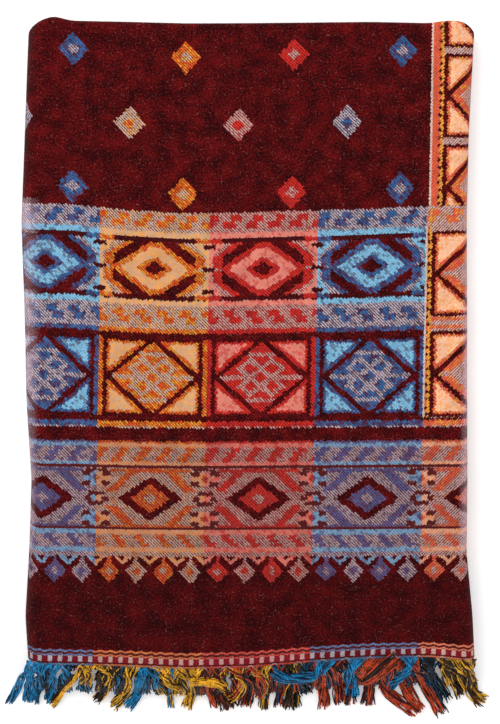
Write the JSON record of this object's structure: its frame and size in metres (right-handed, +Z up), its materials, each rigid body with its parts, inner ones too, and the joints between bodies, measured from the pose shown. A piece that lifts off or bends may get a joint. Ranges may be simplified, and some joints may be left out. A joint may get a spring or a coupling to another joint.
{
  "type": "throw blanket",
  "caption": "Folded wool throw blanket: a tapestry-woven cloth folded lengthwise and crosswise into a flat oblong stack, with knotted fringe along its front edge.",
  "frame": {"origin": "on the ground under the middle of the part's box, at the height of the cloth's underside", "axes": "+X across the folded stack, to the picture's right; +Y from the fringe towards the crosswise fold, the picture's up; +Z up, out of the patterned face"},
  "size_m": [0.4504, 0.6552, 0.0368],
  "materials": {
    "brushed_wool": "brushed tapestry weave, matt",
    "fringe_yarn": "twisted, slightly shiny yarn"
  },
  "bodies": {
    "root": {"blanket": "brushed_wool", "fringe_upper_end": "fringe_yarn", "fringe_lower_end": "fringe_yarn"}
  },
  "joints": []
}
